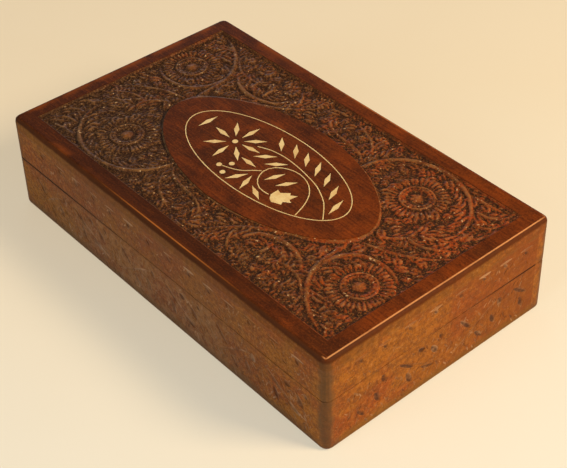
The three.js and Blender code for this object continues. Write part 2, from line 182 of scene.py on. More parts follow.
def outer_depth(place):
    """How far a point lies inside the box's outer faces."""
    parts = axes(place)
    across = minus(cad_box[1].x, unsigned(parts["X"]))
    back = minus(board_face, unsigned(parts["Y"]))
    return smaller(across, back), larger(across, back), parts["Z"]


board_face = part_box("base_front_board")[0].y * -1
parting_height = (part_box("base_front_board")[1].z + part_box("lid_front_board")[0].z) / 2
strip_edges = (0.0 * mm, 4.5 * mm, 51.5 * mm, 55 * mm)
carved_heights = (2.4 * mm, 2.8 * mm, 50.6 * mm, 51.2 * mm)
cut_depths = (1.3 * mm, 1.6 * mm)
# Between these heights the lips of the lunettes always take the pale painted highlight, and the dirt and
# painted shade in them end.
lip_highlight_heights, unmarked_above = (45.5 * mm, 46.5 * mm), (46.8 * mm, 45.8 * mm)
# What differs between the long faces (axis 0) and the end ones (axis 1).
face_looks = [
    {"corner_reach": 3.2 * mm, "top_wear": 0.4, "edge_wear_and_shade": (98, 68, 40), "dirt_and_shade": 0.4, "seam_half": 1.1 * mm,
     "dark_seam": (-90 * mm, -15 * mm)},
    {"corner_reach": 1.4 * mm, "top_wear": 0.7, "edge_wear_and_shade": (116, 78, 28), "dirt_and_shade": 0.85,
     "seam_half": 0.75 * mm, "dark_seam": (-60 * mm, -10 * mm)},
]


def side_colour(place, axis):
    """The hardwood worn at its edges, with dirt and painted shade in its cuts, painted highlights on their
    lips, and painted light and shade at the corners, along the joint and on the front of the base.
    """
    looks = face_looks[axis]
    shade, fibre = hardwood_colour(place, axis)
    parts = axes(place)
    if axis == 1:
        shade = stained(shade, (120, 58, 14), parts["Y"], -30 * mm, 60 * mm, 0, 0.65)
    else:
        middle = unsigned(plus(parts["X"], 8 * mm))
        shade = stained(shade, (102, 64, 44), middle, 100 * mm, 50 * mm, 0.1, 0.4)
    depth, from_corner, height = outer_depth(place)
    if axis == 0:
        # Painted light makes the middle of the front base lighter.
        front_base_painted_light = times(remap(middle, 90 * mm, 50 * mm), remap(height, 33 * mm, 29 * mm, 0, 0.45))
        front_base_painted_light = times(front_base_painted_light, remap(noise(place, 240, 4, 0.65), 0.42, 0.58))
        shade = blend(front_base_painted_light, shade, colour(160, 112, 70))
    ragged = times(noise(place, 130, 3), 5 * mm)
    low = remap(minus(height, ragged), *strip_edges[:2], 1, 0)
    high = remap(plus(height, ragged), *strip_edges[2:])
    # Worn bands along the bottom and under the top board, and painted shade where the face turns round the
    # rounded corner.
    reach = looks["corner_reach"]
    corner = remap(minus(from_corner, ragged), 0.2 * reach, reach, 1, 0)
    olive = larger(larger(corner, low), times(high, looks["top_wear"]))
    shade = blend(times(olive, 0.75), shade, colour(*looks["edge_wear_and_shade"]))
    inside = times(remap(height, *carved_heights[:2]), remap(height, *carved_heights[2:], 1, 0))
    cut = times(remap(depth, *cut_depths, 1, 0), times(remap(from_corner, 6 * mm, 7 * mm), inside))
    # The lips of the cuts get a painted highlight, pale in places and always above the lunettes, and painted
    # shade elsewhere.
    lip_highlight_and_shade = times(cut, remap(depth, 0.02 * mm, 0.09 * mm, 0, 0.6))
    pale = remap(noise(place, 150, 2), 0.42, 0.6)
    pale = larger(pale, remap(height, *lip_highlight_heights))
    lip_highlight_and_shade = times(lip_highlight_and_shade, remap(noise(place, 70, 2), 0.42, 0.62, 0.15, 1))
    shade = blend(lip_highlight_and_shade, shade, blend(pale, colour(96, 54, 30), colour(188, 144, 104)))
    # Dirt and painted shade darken the cuts, more on the end faces than on the long ones.
    dirt_and_shade = times(cut, remap(depth, 0.1 * mm, 0.4 * mm, 0, looks["dirt_and_shade"]))
    dirt_and_shade = times(dirt_and_shade, remap(height, *unmarked_above))
    dirt_and_shade = times(dirt_and_shade, remap(noise(place, 520, 3), 0.38, 0.58, 0.5, 1))
    shade = blend(dirt_and_shade, shade, colour(70, 44, 32))
    # Painted shade in the joint of lid and base, along its left half in front and its far half at the right.
    run = parts["X"] if axis == 0 else times(parts["Y"], -1.0)
    seam_shade_share = plus(remap(run, *looks["dark_seam"], 1, 0.1), times(minus(noise(place, 30, 3), 0.5), 0.8))
    seam = unsigned(minus(height, parting_height))
    seam_shade = times(remap(seam, 0.3 * mm, looks["seam_half"], 1, 0), remap(seam_shade_share, 0, 1, 0, 0.9))
    return blend(seam_shade, shade, colour(58, 28, 14)), fibre


def side_wood_of(name, axis):
    material, shader, place = new_material(name, 0.55, 0.1)
    shade, fibre = side_colour(place, axis)
    unevenness = plus(fibre, times(noise(place, 350, 4, 0.7), 1.6))
    paint(shader, shade, unevenness, 0.5, 0.4 * mm)
    return material


long_wood = side_wood_of("long_board_wood", 0)
end_wood = side_wood_of("end_board_wood", 1)


def linked(name, data):
    """A new object of the scene, made of some data."""
    piece = bpy.data.objects.new(name, data)
    bpy.context.scene.collection.objects.link(piece)
    return piece


same_point, flat_enough = 0.001 * mm, 0.99999


def copy_of(node, name):
    """A CAD node's mesh as a new object, with its loose triangles joined."""
    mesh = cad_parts[node].data.copy()
    mesh.name = name
    work = bmesh.new()
    work.from_mesh(mesh)
    bmesh.ops.remove_doubles(work, verts=work.verts, dist=same_point)
    work.to_mesh(mesh)
    work.free()
    return linked(name, mesh)


def baked(source, name):
    """The evaluated mesh of an object with modifiers, as a plain object. The source is removed."""
    graph = bpy.context.evaluated_depsgraph_get()
    mesh = bpy.data.meshes.new_from_object(source.evaluated_get(graph))
    mesh.name = name
    bpy.data.objects.remove(source)
    return linked(name, mesh)


def finish_board(piece, material, degrees=35):
    """Smooth shading that keeps sharp edges crisp and the flat faces flat, and one material."""
    piece.data.shade_smooth()
    piece.data.set_sharp_from_angle(angle=math.radians(degrees))
    for face in piece.data.polygons:
        if max(abs(share) for share in face.normal) > flat_enough:
            face.use_smooth = False
    piece.data.materials.clear()
    piece.data.materials.append(material)


def geometry_tree(name, inputs):
    """A Geometry Nodes tree and its inputs by name, each given by its first value or its kind."""
    tree = bpy.data.node_groups.new(name, "GeometryNodeTree")
    for label, value in inputs.items():
        kind = value if isinstance(value, str) else {int: "Int", float: "Float"}[type(value)]
        socket = tree.interface.new_socket(label, in_out="INPUT", socket_type="NodeSocket" + kind)
        if value != kind:
            socket.default_value = value
    tree.interface.new_socket("Geometry", in_out="OUTPUT", socket_type="NodeSocketGeometry")
    return tree, add(tree, "NodeGroupInput").outputs


def grow(source, tree, **values):
    """Adds a tree to an object with these input values."""
    modifier = source.modifiers.new(tree.name, "NODES")
    modifier.node_group = tree
    for item in tree.interface.items_tree:
        key = item.name.lower().replace(" ", "_")
        if item.in_out == "INPUT" and key in values:
            modifier[item.identifier] = values[key]


def made(kind, sockets, **settings):
    """The first output of one geometry node."""
    return add(tree_of(*sockets.values()), "GeometryNode" + kind, sockets, **settings).outputs[0]


def finish_tree(geometry, material):
    """Ends a tree in plain geometry, made of one material."""
    whole = made("RealizeInstances", {"Geometry": geometry})
    painted = made("SetMaterial", {"Geometry": whole, "Material": material})
    add(painted.id_data, "NodeGroupOutput", {0: painted})


def spline_object(name, routes, kind="BEZIER", closed=False):
    """Curves through lists of points, in millimetres: smooth ones, or straight from point to point."""
    data = bpy.data.curves.new(name, "CURVE")
    data.dimensions = "3D"
    for route in routes:
        spline = data.splines.new(kind)
        points = spline.bezier_points if kind == "BEZIER" else spline.points
        points.add(len(route) - 1)
        for point, (x, y) in zip(points, route):
            if kind == "BEZIER":
                point.co = (x * mm, y * mm, 0)
                point.handle_left_type = point.handle_right_type = "AUTO"
            else:
                point.co = (x, y, 0, 1)
        spline.use_cyclic_u = closed
    return linked(name, data)


def section_object(name, points):
    """A section to sweep, from (across, up) points taken counter-clockwise, for a half width of 1.

    A swept section lands turned half round, so it is stored turned."""
    return spline_object(name, [[(-across, -up) for across, up in points]], kind="POLY", closed=True)


def swept(curve, section, half_width, height, rise, taper):
    """A section run along a curve: its width follows a taper and its height is set apart."""
    level = made("SetCurveNormal", {"Curve": curve}, mode="Z_UP")
    share = add(level.id_data, "GeometryNodeSplineParameter").outputs["Factor"]
    shape = add(level.id_data, "ShaderNodeFloatCurve", {"Value": share})
    line = shape.mapping.curves[0]
    line.points[0].location, line.points[-1].location = taper[0], taper[-1]
    for point in taper[1:-1]:
        line.points.new(*point)
    solid = made("CurveToMesh", {
        "Curve": level, "Profile Curve": section, "Scale": times(shape.outputs[0], half_width),
        "Fill Caps": True})
    stretch = calc("DIVIDE", height, times(half_width, rise))
    return moved(solid, Scale=vector_of(1.0, 1.0, stretch))


def blade_tree_of(name, taper, rise):
    """A tree that makes one leaf, petal or gouge along X from the origin."""
    tree, socket = geometry_tree(name, {
        "Section": "Object", "Length": 7 * mm, "Width": 2.8 * mm, "Height": 1.2 * mm, "Bend": 0.0,
        "Steps": 5})
    middle = vector_of(x=times(socket["Length"], 0.45), y=socket["Bend"])
    tip = vector_of(x=socket["Length"])
    arc = made("CurveQuadraticBezier", {
        "Resolution": socket["Steps"], "Start": (0, 0, 0), "Middle": middle, "End": tip})
    half = times(socket["Width"], 0.5)
    solid = swept(arc, shown(socket["Section"]), half, socket["Height"], rise, taper)
    add(tree, "NodeGroupOutput", {0: solid})
    return tree


def nested_blade(inner, section, size, bend=0.0, steps=5):
    """A blade's tree inside another tree, with its length, width and height."""
    length, width, height = size
    return add(section.id_data, "GeometryNodeGroup", {
        "Section": section, "Length": length, "Width": width, "Height": height, "Bend": bend,
        "Steps": steps}, node_tree=inner).outputs[0]


def shown(source):
    """The geometry of another object."""
    return add(source.id_data, "GeometryNodeObjectInfo", {"Object": source}).outputs["Geometry"]


def moved(geometry, **change):
    """Geometry after a Translation, Rotation or Scale."""
    return made("Transform", {"Geometry": geometry, **change})


def resampled(curve, step):
    return made("ResampleCurve", {"Curve": curve, "Length": step}, mode="LENGTH")


def scattered(sheet, socket):
    """Points strewn over a sheet, none nearer to another than the gap."""
    return add(sheet.id_data, "GeometryNodeDistributePointsOnFaces", {
        "Mesh": sheet, "Distance Min": socket["Gap"], "Density Max": 900000.0, "Seed": socket["Seed"],
    }, distribute_method="POISSON").outputs["Points"]


def random(tree, low, high, seed):
    sockets = {2: low, 3: high, "Seed": seed}
    return add(tree, "FunctionNodeRandomValue", sockets, data_type="FLOAT").outputs[1]


def finish_cut(cutters, socket):
    """Stands cutters made on the ground plane up on one face of the box, and cuts the board."""
    out = vector_of(y=times(socket["Face"], -1.0))
    upright = moved(cutters, Rotation=(math.pi / 2, 0, 0), Translation=out)
    placed = moved(upright, Rotation=vector_of(z=socket["Turn"]))
    meshes = {"Mesh 1": socket["Geometry"], "Mesh 2": placed}
    cut = made("MeshBoolean", meshes, operation="DIFFERENCE", solver="MANIFOLD")
    finish_tree(cut, socket["Material"])


gouge_taper = [(0, 0.1), (0.3, 0.9), (0.55, 1), (0.8, 0.75), (1, 0.05)]
gouge_section = section_object("gouge_section", [
    (-1, 0.3), (-0.84, -0.6), (-0.56, -1), (-0.1, -0.72), (0.45, -0.28), (1.1, 0.3)])
gouge_tree = blade_tree_of("gouge", gouge_taper, rise=1.0)

line_tree, socket = geometry_tree("incised_line", {
    "Geometry": "Geometry", "Route": "Object", "Section": "Object", "Material": "Material",
    "Width": 1.6 * mm, "Depth": 0.4 * mm, "Step": 1.6 * mm, "Turn": 0.0, "Face": 0.1})
even = resampled(shown(socket["Route"]), socket["Step"])
line_half = times(socket["Width"], 0.5)
line = swept(even, shown(socket["Section"]), line_half, socket["Depth"], 1.0, gouge_taper)
finish_cut(line, socket)

strokes_tree, socket = geometry_tree("fine_strokes", {
    "Geometry": "Geometry", "Section": "Object", "Material": "Material", "Half Run": 110 * mm, "Low": 5 * mm,
    "High": 28 * mm, "Gap": 3 * mm, "Length": 4 * mm, "Width": 1.2 * mm, "Depth": 0.35 * mm, "Lean": 0.8,
    "Seed": 1, "Turn": 0.0, "Face": 0.1})
band_height = minus(socket["High"], socket["Low"])
band = made("MeshGrid", {
    "Size X": times(socket["Half Run"], 2.0), "Size Y": band_height, "Vertices X": 2, "Vertices Y": 2})
band_middle = times(plus(socket["Low"], socket["High"]), 0.5)
band = moved(band, Translation=vector_of(y=band_middle))
marks = scattered(band, socket)
stroke_size = (socket["Length"], socket["Width"], socket["Depth"])
stroke = nested_blade(gouge_tree, socket["Section"], stroke_size, 0.5 * mm)
lean = random(strokes_tree, -1.0, 1.0, plus(socket["Seed"], 5))
side_of_run = calc("SIGN", lean)
turned = plus(times(side_of_run, socket["Lean"]), times(lean, 0.5))
strokes = made("InstanceOnPoints", {
    "Points": marks, "Instance": stroke, "Rotation": vector_of(z=turned),
    "Scale": random(strokes_tree, 0.5, 1.15, plus(socket["Seed"], 8))})
finish_cut(strokes, socket)

corner_margin = 11.0
motif_pitch = 77.0
stem_swing, stem_level, stem_crest = 7.8, 17.9, -34.0
lunette_pitch = 15.7
# The gouges of one turn of the winding stem, each as its two ends in millimetres along the face and up it.
broad_gouges = [
    [(-43.1, 18.6), (-40.0, 11.6)], [(-38.2, 26.6), (-36.4, 21.6)], [(-22.4, 17.2), (-19.6, 9.6)],
    [(-15.4, 27.0), (-11.0, 25.2)], [(-6.4, 24.0), (-1.8, 17.6)],
]
long_gouges = [
    [(-27.6, 25.6), (-17.0, 17.8)], [(-13.4, 14.8), (-4.4, 11.0)], [(-1.4, 28.3), (1.0, 25.2)],
    [(12.8, 27.6), (21.4, 18.0)], [(23.6, 14.0), (29.0, 7.8)],
]


def stem_strokes(half_run, shift):
    """The winding stem, cut one rise or fall at a time."""
    half_pitch = motif_pitch / 2
    shares = [-0.46, -0.3, -0.15, 0, 0.15, 0.3, 0.46]
    strokes = []
    for turn in range(-4, 5):
        middle = stem_crest + shift + (turn + 0.5) * half_pitch
        places = [middle + half_pitch * share for share in shares]
        strokes.append([(x, stem_level + stem_swing * math.cos(
            math.pi * (x - stem_crest - shift) / half_pitch)) for x in places])
    return [stroke for stroke in strokes if all(abs(x) < half_run for x, z in stroke)]


def repeated(cuts, half_run, pitch, shift=0.0):
    """Copies of some cuts at each pitch along a face, as far as it goes, each a little off its place."""
    copies = []
    for turn in range(-9, 10):
        along = shift + pitch * turn + 1.1 * math.sin(7.3 * turn)
        up = 0.5 * math.sin(4.1 * turn)
        copies += [[(x + along, z + up) for x, z in cut] for cut in cuts]
    return [cut for cut in copies if all(abs(x) < half_run for x, z in cut)]


def lunette_cuts(half_run, start, end):
    """One short cut beneath each lunette."""
    return repeated([[start, end]], half_run, lunette_pitch)


# Each face's turn about the upright axis, and how far its motif is shifted, in millimetres.
faces = {
    "front": (0.0, 34.0), "right": (math.pi / 2, 0.0), "back": (math.pi, 34.0), "left": (-math.pi / 2, 0.0),
}
for number, (side, (turn, shift)) in enumerate(faces.items()):
    is_long = side in ("front", "back")
    material = long_wood if is_long else end_wood
    face = board_face if is_long else cad_box[1].x
    half_run = (cad_box[1].x if is_long else board_face) / mm - corner_margin
    shared = {"section": gouge_section, "material": material, "turn": turn, "face": face}
    boards = {body: copy_of(body + "_" + side + "_board", body + "_board_copy") for body in ("base", "lid")}
    # The stem, the broad and the long gouges; the lunettes, their notches and the flecks below them.
    # Each row gives the board, its lines, and the cut's width, depth and step in millimetres.
    cuts = [
        ("base", stem_strokes(half_run, shift), 1.8, 0.2, 1.6),
        ("base", repeated(broad_gouges, half_run, motif_pitch, shift), 4.4, 0.7, 0.8),
        ("base", repeated(long_gouges, half_run, motif_pitch, shift), 3.2, 0.6, 0.8),
        ("lid", lunette_cuts(half_run, (-9.0, 47.2), (0.2, 47.0)), 2.2, 0.3, 0.8),
        ("lid", lunette_cuts(half_run, (-5.8, 46.2), (-3.2, 43.4)), 3.0, 0.5, 0.8),
        ("lid", lunette_cuts(half_run, (2.0, 39.0), (5.2, 38.2)), 1.5, 0.25, 0.8),
    ]
    routes = []
    for body, lines, width, depth, step in cuts:
        routes.append(spline_object("cut_lines", lines))
        grow(boards[body], line_tree, route=routes[-1], width=width * mm, depth=depth * mm,
             step=step * mm, **shared)
    shared.update(half_run=half_run * mm, gap=(2.1 if is_long else 3.0) * mm)
    grow(boards["base"], strokes_tree, low=5.5 * mm, high=28 * mm, length=4.6 * mm, width=1.4 * mm,
         depth=0.24 * mm, seed=number + 3, **shared)
    grow(boards["lid"], strokes_tree, low=35 * mm, high=45 * mm, length=3.8 * mm, width=1.3 * mm,
         depth=0.2 * mm, seed=number + 13, **shared)
    for body, source in boards.items():
        node = body + "_" + side + "_board"
        piece = baked(source, "carved_" + node)
        finish_board(piece, material)
        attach(piece, body)
        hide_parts(node)
    for route in routes:
        bpy.data.objects.remove(route)
bpy.data.objects.remove(gouge_section)

# Floor board
# A thin board of plain wood let in at the bottom of the base, unfinished on its upper side.
floor_wood, shader, place = new_material("floor_wood", 0.7, 0.25)
fibre, figure = grain(place, 0)
shade = stained(colour(186, 142, 92), (150, 106, 62), figure, 0.38, 0.66)
shade = stained(shade, (120, 82, 46), fibre, 0.5, 0.72, 0, 0.5)
paint(shader, shade, fibre, 0.3, 0.3 * mm)


def dress(name, material):
    """Gives a CAD node its material."""
    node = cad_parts[name]
    node.data.materials.clear()
    node.data.materials.append(material)


dress("base_floor_board", floor_wood)

# Hinges
# Two small butt hinges let into the back boards. Their leaves, pins and screws are brass, clouded and
# dulled by age. Each leaf is held by two countersunk screws.
brass, shader, place = new_material("aged_brass")
cloud = noise(place, 220, 5, 0.65)
shade = stained(colour(196, 158, 88), (126, 94, 50), cloud, 0.4, 0.62)
shader.id_data.links.new(remap(cloud, 0.35, 0.7, 0.3, 0.6), shader.inputs["Roughness"])
shader.inputs["Metallic"].default_value = 1
scratches = noise(drawn_out(place, (0.1, 1, 1)), 2200, 2.0)
paint(shader, shade, scratches, 0.15, 0.2 * mm)
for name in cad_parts:
    if "hinge" in name:
        dress(name, brass)

# Top board of the lid
# A dark red-brown board glued over the lid's rim, rounded along its top edge, rubbed lighter there and
# painted with a highlight along it.
# Its field is cut down two millimetres, and a smooth oval is left standing for the inlay.
field_depth = 2.0 * mm
field_border = 10.0 * mm
oval_length, oval_width, oval_exponent = 148.0 * mm, 77.0 * mm, 1.87
trim = 0.12 * mm
lid_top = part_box("lid_top_board")[1]
half_length, half_width = lid_top.x - field_border, lid_top.y - field_border
ground = lid_top.z - field_depth
stain_edge = 56.0 * mm
crest_depth = 2.0 * mm
front_strip, front_reach = (-58 * mm, -65 * mm), (100 * mm, 62 * mm)
worn_middle, worn_reach = 9 * mm, (60 * mm, 14 * mm)

lid_wood, shader, place = new_material("lid_wood", 0.5, 0.03)
parts = axes(place)
fibre, figure = grain(place, 0, 1.2)
# The stain is uneven at random, and painted light and shade make it lighter towards the right, darker at the
# front and a little darker near the right end.
uneven = plus(remap(parts["X"], -lid_top.x, lid_top.x, 0, 0.8), times(minus(noise(place, 80, 3), 0.5), 1.8))
uneven = plus(uneven, remap(parts["Y"], -66 * mm, -42 * mm, -0.56, -0.03))
uneven = minus(uneven, remap(parts["X"], 100 * mm, 118 * mm, 0, 0.25))
shade = stained(colour(78, 37, 14), (136, 59, 16), uneven, 0, 1)
shade = stained(shade, (60, 24, 8), figure, 0.42, 0.66, 0, 0.22)
shade = stained(shade, (62, 26, 8), noise(place, 420, 5, 0.75), 0.5, 0.64, 0, 0.45)
shade = stained(shade, (50, 20, 8), fibre, 0.5, 0.66, 0, 0.4)
shade = stained(shade, (170, 84, 24), fibre, 0.44, 0.32, 0, 0.14)
specks = noise(place, 1000, 3, 0.7)
shade = stained(shade, (52, 20, 8), specks, 0.52, 0.64, 0, 0.4)
shade = stained(shade, (160, 74, 26), specks, 0.46, 0.36, 0, 0.25)
# The floor and walls of the field, dark with old wax and dirt, and with painted shade.
depth, _, level = outer_depth(place)
in_field = times(remap(level, ground + 0.3 * mm, lid_top.z - 0.2 * mm, 1, 0),
                 remap(depth, field_border - 1.5 * mm, field_border - 0.5 * mm))
field_dirt_and_shade = blend(noise(place, 300, 3), colour(44, 24, 14), colour(74, 44, 24))
shade = blend(in_field, shade, field_dirt_and_shade)
# The rounded edge, rubbed lighter where it starts and given a painted highlight there, palest at the right,
# and darker below; and the side, where the stain stops.
# Painted shade darkens the middle of the front border and edge.
at_front = remap(parts["Y"], *front_strip)
front_middle = remap(unsigned(parts["X"]), *front_reach, 0, 0.35)
shade = blend(times(at_front, front_middle), shade, colour(46, 22, 8))
# Warmer orange near the outer edge, more to the left: stain, and a painted highlight on the rounding.
warm_rim_stain_and_highlight = times(remap(depth, 6.5 * mm, 3 * mm, 0, 0.6), remap(noise(place, 50, 3), 0.42, 0.56))
warm_rim_stain_and_highlight = times(warm_rim_stain_and_highlight, remap(parts["X"], -45 * mm, -85 * mm, 0.15, 1))
shade = blend(warm_rim_stain_and_highlight, shade, colour(150, 70, 20))
rounding = remap(depth, 1.75 * mm, 1.4 * mm, 0, 0.8)
shade = blend(rounding, shade, colour(84, 44, 20))
off_crest = unsigned(minus(depth, crest_depth))
on_edge = times(remap(off_crest, 0.5 * mm, 0.12 * mm),
                remap(level, lid_top.z - 0.4 * mm, lid_top.z - 0.2 * mm))
at_right = remap(parts["X"], lid_top.x - 5 * mm, lid_top.x - 3 * mm, 0, 0.8)
middle_wear = remap(unsigned(minus(parts["X"], worn_middle)), *worn_reach, 0, 0.7)
rubbed_and_lit = times(on_edge, times(larger(at_right, middle_wear),
                              remap(noise(place, 60, 5, 0.65), 0.36, 0.5, 0.4, 1)))
crest_wear_and_highlight = blend(at_right, colour(208, 116, 48), colour(228, 158, 98))
shade = blend(rubbed_and_lit, shade, crest_wear_and_highlight)
side_shade = side_colour(place, 0)[0]
bare = remap(plus(level, times(noise(place, 90), 1.6 * mm)), stain_edge, stain_edge + 1.2 * mm, 1, 0)
shade = blend(bare, shade, side_shade)
paint(shader, shade, fibre, 0.35, 0.3 * mm)


def superellipse(half_x, half_y, exponent, count):
    """Points round an oval, which the exponent 2 would make an ellipse."""
    def bend(value):
        return math.copysign(abs(value) ** (2 / exponent), value)
    angles = [2 * math.pi * i / count for i in range(count)]
    return [(half_x * bend(math.cos(a)), half_y * bend(math.sin(a))) for a in angles]


def ring_prism(name, outline, hole, low, high):
    """An outline with one hole, raised between two heights, as a closed mesh."""
    work = bmesh.new()
    loops = [[work.verts.new((x, y, low)) for x, y in loop] for loop in (outline, hole)]
    edges = [work.edges.new((loop[i - 1], loop[i])) for loop in loops for i in range(len(loop))]
    bmesh.ops.triangle_fill(work, edges=edges, use_beauty=True)
    raised = bmesh.ops.extrude_face_region(work, geom=work.faces[:])
    lifted = [item for item in raised["geom"] if isinstance(item, bmesh.types.BMVert)]
    bmesh.ops.translate(work, verts=lifted, vec=(0, 0, high - low))
    bmesh.ops.recalc_face_normals(work, faces=work.faces)
    mesh = bpy.data.meshes.new(name)
    work.to_mesh(mesh)
    work.free()
    return linked(name, mesh)


corners = [(-1, -1), (1, -1), (1, 1), (-1, 1)]
oval_points = 160
field_outline = [(x * (half_length + trim), y * (half_width + trim)) for x, y in corners]
oval_outline = superellipse(oval_length / 2 - trim, oval_width / 2 - trim, oval_exponent, oval_points)
cutter = ring_prism("field_cutter", field_outline, oval_outline, ground - trim, lid_top.z + field_depth)
board = copy_of("lid_top_board", "top_board_copy")
field_cut = board.modifiers.new("field", "BOOLEAN")
field_cut.object = cutter
field_cut.operation = "DIFFERENCE"
field_cut.solver = "EXACT"
top_board = baked(board, "carved_top_board")
finish_board(top_board, lid_wood)
bpy.data.objects.remove(cutter)
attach(top_board, "lid")
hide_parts("lid_top_board")

# Scroll stems and their leaves
# The carver's main lines: rounded stems, and spoon-cut leaves along both sides of them.
# They are the wood of the board itself, left standing in the field, so they are shaped here as forms
# and become one surface with its floor further on.


def together(parts):
    """Some geometry joined into one."""
    joined = add(parts[0].id_data, "GeometryNodeJoinGeometry")
    for part in parts:
        joined.id_data.links.new(part, joined.inputs[0])
    return joined.outputs[0]


def sizes(socket, label):
    return [socket[label + " " + way] for way in ("Length", "Width", "Height")]


def vector_calc(operation, sockets):
    return add(tree_of(*sockets.values()), "ShaderNodeVectorMath", sockets, operation=operation).outputs


def along_x(vector, turn):
    """The turn about Z that points X along a vector, and then a further turn."""
    parts = axes(vector)
    angle = calc("ARCTAN2", parts["Y"], parts["X"])
    return vector_of(z=plus(angle, turn))


def beside(points, tangent, distance):
    """Points moved sideways from their curve."""
    across = vector_calc("CROSS_PRODUCT", {0: (0, 0, 1), 1: tangent})[0]
    offset = vector_calc("SCALE", {0: across, "Scale": distance})[0]
    return made("SetPosition", {"Geometry": points, "Offset": offset})


def finish_forms(parts):
    """Joins the parts and their copy turned half round, and ends the tree in one mesh."""
    half = together(parts)
    both = together([half, moved(half, Rotation=(0, 0, math.pi))])
    add(both.id_data, "NodeGroupOutput", {0: made("RealizeInstances", {"Geometry": both})})


carved_forms = {}


def shape_forms(name, source, tree, **values):
    """Some of the carving's forms, standing on the ground plane."""
    grow(source, tree, **values)
    carved_forms[name] = baked(source, name)


leaf_section = section_object("leaf_section", [
    (-1, -0.5), (1, -0.5), (0.92, 0.4), (0.62, 0.7), (0, 0.3), (-0.62, 0.7), (-0.92, 0.4)])
stem_section = section_object("stem_section", [
    (-1, -0.5), (1, -0.5), (0.94, 0.3), (0.6, 0.6), (0, 0.7), (-0.6, 0.6), (-0.94, 0.3)])
rim_rise = 0.7
leaf_tree = blade_tree_of("leaf", [(0, 0.35), (0.25, 0.85), (0.5, 1), (0.78, 0.72), (1, 0.05)], rim_rise)

scroll_tree, socket = geometry_tree("scrolls_with_leaves", {
    "Geometry": "Geometry", "Section": "Object", "Stem Section": "Object", "Stem Width": 3.7 * mm,
    "Stem Height": 1.85 * mm, "Leaf Length": 8.6 * mm, "Leaf Width": 4.8 * mm, "Leaf Height": 1.6 * mm,
    "Leaf Spacing": 6.4 * mm, "Leaf Beside": 3.1 * mm, "Lean": math.radians(42), "Seed": 1})
even = resampled(socket["Geometry"], 1.2 * mm)
stem_taper = [(0, 0.5), (0.1, 0.85), (0.4, 1), (0.8, 0.7), (1, 0.06)]
stem_half = times(socket["Stem Width"], 0.5)
stem_shown = shown(socket["Stem Section"])
relief_parts = [swept(even, stem_shown, stem_half, socket["Stem Height"], rim_rise, stem_taper)]
marks = add(scroll_tree, "GeometryNodeCurveToPoints", {
    "Curve": socket["Geometry"], "Length": socket["Leaf Spacing"]}, mode="LENGTH").outputs
for side in (-1, 1):
    seed = plus(socket["Seed"], 10 + side)
    lean = plus(times(socket["Lean"], side), random(scroll_tree, -0.25, 0.25, seed))
    size = random(scroll_tree, 0.7, 1.15, plus(seed, 5))
    bend = times(socket["Leaf Width"], -0.5 * side)
    leaf = nested_blade(leaf_tree, socket["Section"], sizes(socket, "Leaf"), bend)
    places = beside(marks["Points"], marks["Tangent"], times(socket["Leaf Beside"], side))
    relief_parts.append(made("InstanceOnPoints", {
        "Points": places, "Instance": leaf, "Rotation": along_x(marks["Tangent"], lean), "Scale": size}))
finish_forms(relief_parts)

main_routes = [
    [(33.6, 32.7), (34.8, 40.2), (39, 48.5), (46.5, 56), (57, 60.4), (70, 61.5), (84, 57.8),
     (94, 50.5), (100.5, 41.5), (103, 31), (101, 22)],
    [(72, 7.5), (74, -0.5), (72.3, -9.8), (66.5, -16.5), (54.8, -24.6), (46, -29.5), (37, -34.8),
     (28.5, -41.5), (20.7, -50.5), (13.5, -61)],
    [(72.3, -9.8), (73.2, -22), (74.8, -34), (79, -42.3), (85, -49), (94, -55.7), (109, -62)],
    [(75.7, -36), (75.3, -27.5), (77.5, -19.5), (83, -13.5), (92, -10.5), (102, -10.8), (111, -15)],
    [(34.8, -46), (37.3, -39.5), (44, -35.2), (54, -33.4), (64, -35.2), (72.5, -40.7), (81, -48.5)],
]
sprig_routes = [
    [(32, 36), (24, 41.5), (14, 43), (3, 44.5), (-8, 50), (-13, 58)],
    [(30, 44), (24, 51), (14, 56), (2, 59)],
    [(76, -6), (87, -3), (98, 2.5), (108, 10), (113, 18)],
    [(78, 2), (86, 8), (91, 17)],
    [(88, 58), (98, 58.5), (108, 60)], [(97, 50), (106, 52), (112, 57)],
    [(102, 42), (109, 44), (113, 50)], [(103.5, 34), (110, 34), (114, 40)],
    [(87, 12), (97, 12), (106, 17), (113, 25)], [(92, 20), (101, 22), (108, 28)],
    [(58, -45), (66.5, -43.6), (75, -45), (82.5, -50), (92, -57)],
    [(65.7, -19.8), (70, -26), (74, -34)],
    [(28, -44), (31, -51), (38, -58)], [(48, -37), (49, -45), (46, -50)],
    [(57, -36.5), (60, -44), (60, -50)],
]
sections = {"section": leaf_section, "stem_section": stem_section}
shape_forms("scrolls", spline_object("main_lines", main_routes), scroll_tree, **sections)
shape_forms("sprigs", spline_object("sprig_lines", sprig_routes), scroll_tree, stem_width=2.2 * mm,
            stem_height=1.7 * mm, leaf_length=7.4 * mm, leaf_width=4.4 * mm, leaf_height=1.5 * mm,
            leaf_beside=1.7 * mm, leaf_spacing=5.6 * mm, seed=7, **sections)

# Rosettes and small flowers
# Four sunflower rosettes, two to each half of the lid: a seeded eye, an inner and an outer ring of
# spoon-cut petals and the ridge between them. Small five-petalled flowers lie among the scrolls.
petal_tree = blade_tree_of("petal", [(0, 0.45), (0.35, 0.75), (0.7, 1), (0.9, 0.8), (1, 0.25)], rim_rise)


def place_in(tree):
    return add(tree, "GeometryNodeInputPosition").outputs[0]


